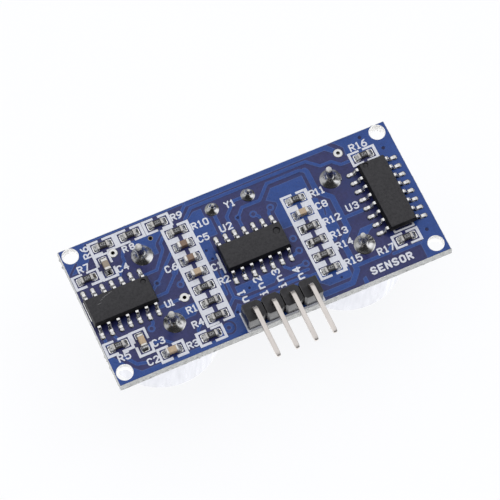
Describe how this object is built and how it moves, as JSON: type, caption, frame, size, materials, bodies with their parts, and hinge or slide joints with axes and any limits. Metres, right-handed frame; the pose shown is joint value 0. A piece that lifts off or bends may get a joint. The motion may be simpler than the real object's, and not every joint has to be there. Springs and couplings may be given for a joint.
{
  "type": "ultrasonic distance sensor",
  "caption": "Ultrasonic ranging module: circuit board with round transducer cans on its front, chips and chip parts on its back, and a right-angle pin header.",
  "frame": {"origin": "centre of the module's footprint (board and header pins together), on the plane that the two transducer rims stand on", "axes": "+X along the board's length from the receiver to the transmitter, +Y from the pin header across the board, +Z from the transducers' open fronts towards the component side; the sensor listens and sends along -Z"},
  "size_m": [0.0454, 0.0254, 0.0175],
  "materials": {
    "board_blue": "blue solder mask over glass-fibre board, with white legend and pale sawn edges",
    "chip_black": "fine matt black moulding resin with bright tinned leads",
    "resistor_black": "black glazed film on a white ceramic chip, with tinned ends",
    "capacitor_tan": "matt tan ceramic block with tinned ends",
    "header_black": "moulded black nylon",
    "pin_tin": "tin-plated brass, satin",
    "solder_bright": "bright reflowed solder",
    "case_aluminium": "drawn aluminium, satin",
    "screen_wire": "woven steel wire cloth",
    "cone_aluminium": "thin spun aluminium",
    "plate_brass": "rolled brass sheet",
    "piezo_ceramic": "sintered ceramic with a silvered face",
    "base_black": "black moulded plastic",
    "crystal_steel": "bright nickel-plated steel",
    "quartz_clear": "clear polished quartz"
  },
  "bodies": {
    "root": {"amplifier_chip": "chip_black", "capacitor_c1": "capacitor_tan", "capacitor_c2": "capacitor_tan", "capacitor_c3": "capacitor_tan", "capacitor_c4": "capacitor_tan", "capacitor_c5": "capacitor_tan", "capacitor_c6": "capacitor_tan", "capacitor_c8": "capacitor_tan", "circuit_board": "board_blue", "controller_chip": "chip_black", "crystal_base": "crystal_steel", "crystal_can": "crystal_steel", "crystal_lead_1": "pin_tin", "crystal_lead_2": "pin_tin", "crystal_quartz_blank": "quartz_clear", "crystal_solder_1": "solder_bright", "crystal_solder_2": "solder_bright", "driver_chip": "chip_black", "header_housing": "header_black", "header_pin_1": "pin_tin", "header_pin_2": "pin_tin", "header_pin_3": "pin_tin", "header_pin_4": "pin_tin", "receiver_base": "base_black", "receiver_case": "case_aluminium", "receiver_cone": "cone_aluminium", "receiver_metal_plate": "plate_brass", "receiver_piezo_disc": "piezo_ceramic", "receiver_screen": "screen_wire", "receiver_solder_1": "solder_bright", "receiver_solder_2": "solder_bright", "receiver_terminal_1": "pin_tin", "receiver_terminal_2": "pin_tin", "resistor_r1": "resistor_black", "resistor_r10": "resistor_black", "resistor_r11": "resistor_black", "resistor_r12": "resistor_black", "resistor_r13": "resistor_black", "resistor_r14": "resistor_black", "resistor_r15": "resistor_black", "resistor_r16": "resistor_black", "resistor_r17": "resistor_black", "resistor_r2": "resistor_black", "resistor_r3": "resistor_black", "resistor_r4": "resistor_black", "resistor_r5": "resistor_black", "resistor_r6": "resistor_black", "resistor_r7": "resistor_black", "resistor_r8": "resistor_black", "resistor_r9": "resistor_black", "transmitter_base": "base_black", "transmitter_case": "case_aluminium", "transmitter_cone": "cone_aluminium", "transmitter_metal_plate": "plate_brass", "transmitter_piezo_disc": "piezo_ceramic", "transmitter_screen": "screen_wire", "transmitter_solder_1": "solder_bright", "transmitter_solder_2": "solder_bright", "transmitter_terminal_1": "pin_tin", "transmitter_terminal_2": "pin_tin"}
  },
  "joints": []
}
